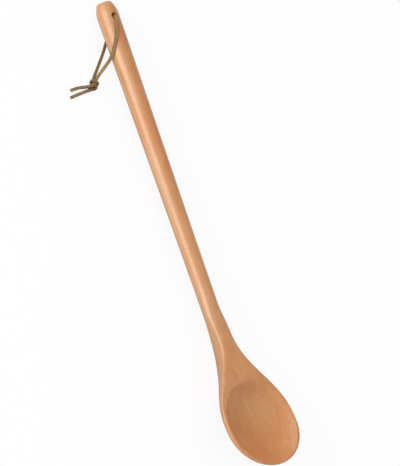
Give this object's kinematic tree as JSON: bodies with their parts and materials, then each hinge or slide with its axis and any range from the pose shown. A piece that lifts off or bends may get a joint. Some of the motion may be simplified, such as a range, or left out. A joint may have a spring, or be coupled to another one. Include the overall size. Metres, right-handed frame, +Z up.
{
  "type": "wooden spoon",
  "caption": "Wooden cooking spoon with a round tapered handle, an egg-shaped scooped bowl and a knotted leather hanging lace through the handle's end.",
  "frame": {"origin": "half way along the spoon, on the surface it lies on", "axes": "+X from the handle's end to the bowl's tip, +Z up with the bowl open upwards"},
  "size_m": [0.34, 0.0764, 0.0248],
  "materials": {
    "wood": "satin lacquered beech with a fine straight grain",
    "lace": "matte olive-brown leather lace"
  },
  "bodies": {
    "spoon": {"spoon": "wood"},
    "lanyard": {"lace_in_hole": "lace", "lace_upper_strand": "lace", "lace_lower_strand": "lace", "lace_knot": "lace"},
    "tail_short": {"lace_tail_short": "lace"},
    "tail_long": {"lace_tail_long": "lace"}
  },
  "joints": [
    {"name": "lanyard_swing", "type": "hinge", "parent": "spoon", "child": "lanyard", "pos_m": [-0.1585, 0, 0.0102], "axis": [0, 0, -1], "range_deg": [0, 270]},
    {"name": "tail_short_sway", "type": "hinge", "parent": "lanyard", "child": "tail_short", "pos_m": [-0.1176, -0.0313, 0.0011], "axis": [0, 0, -1], "range_deg": [-5, 45]},
    {"name": "tail_long_sway", "type": "hinge", "parent": "lanyard", "child": "tail_long", "pos_m": [-0.1143, -0.0313, 0.0011], "axis": [0, 0, 1], "range_deg": [-5, 45]}
  ]
}
